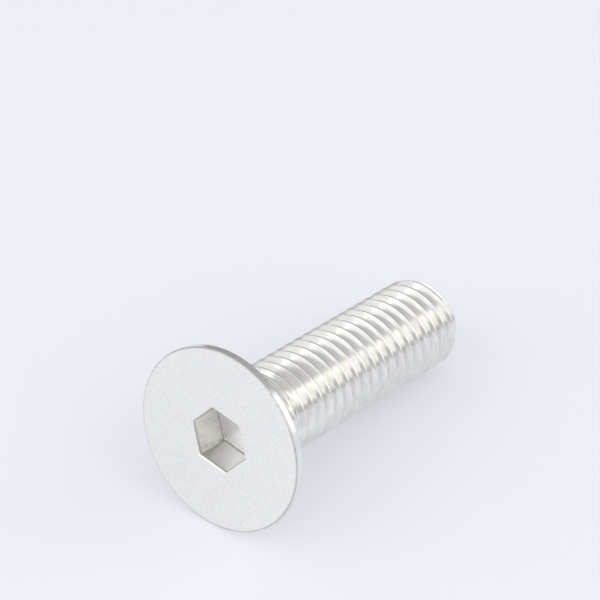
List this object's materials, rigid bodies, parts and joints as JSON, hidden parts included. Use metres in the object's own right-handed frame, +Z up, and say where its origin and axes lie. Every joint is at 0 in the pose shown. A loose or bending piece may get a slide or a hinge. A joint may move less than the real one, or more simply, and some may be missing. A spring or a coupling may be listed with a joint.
{
  "type": "countersunk socket screw",
  "caption": "Flat countersunk screw with a hexagon socket and a right-hand thread up to its head, lying on the rim of its head and its last thread crest.",
  "frame": {"origin": "Middle of the floor area under the lying screw, on the floor", "axes": "+X along the screw on the floor, from the head to the tip; +Z up. The screw's own axis sinks 8.6 degrees below +X towards the tip"},
  "size_m": [0.0366, 0.02, 0.0199],
  "materials": {
    "stainless_steel": "bright, with a finely grained head face"
  },
  "bodies": {
    "root": {"screw": "stainless_steel"}
  },
  "joints": []
}
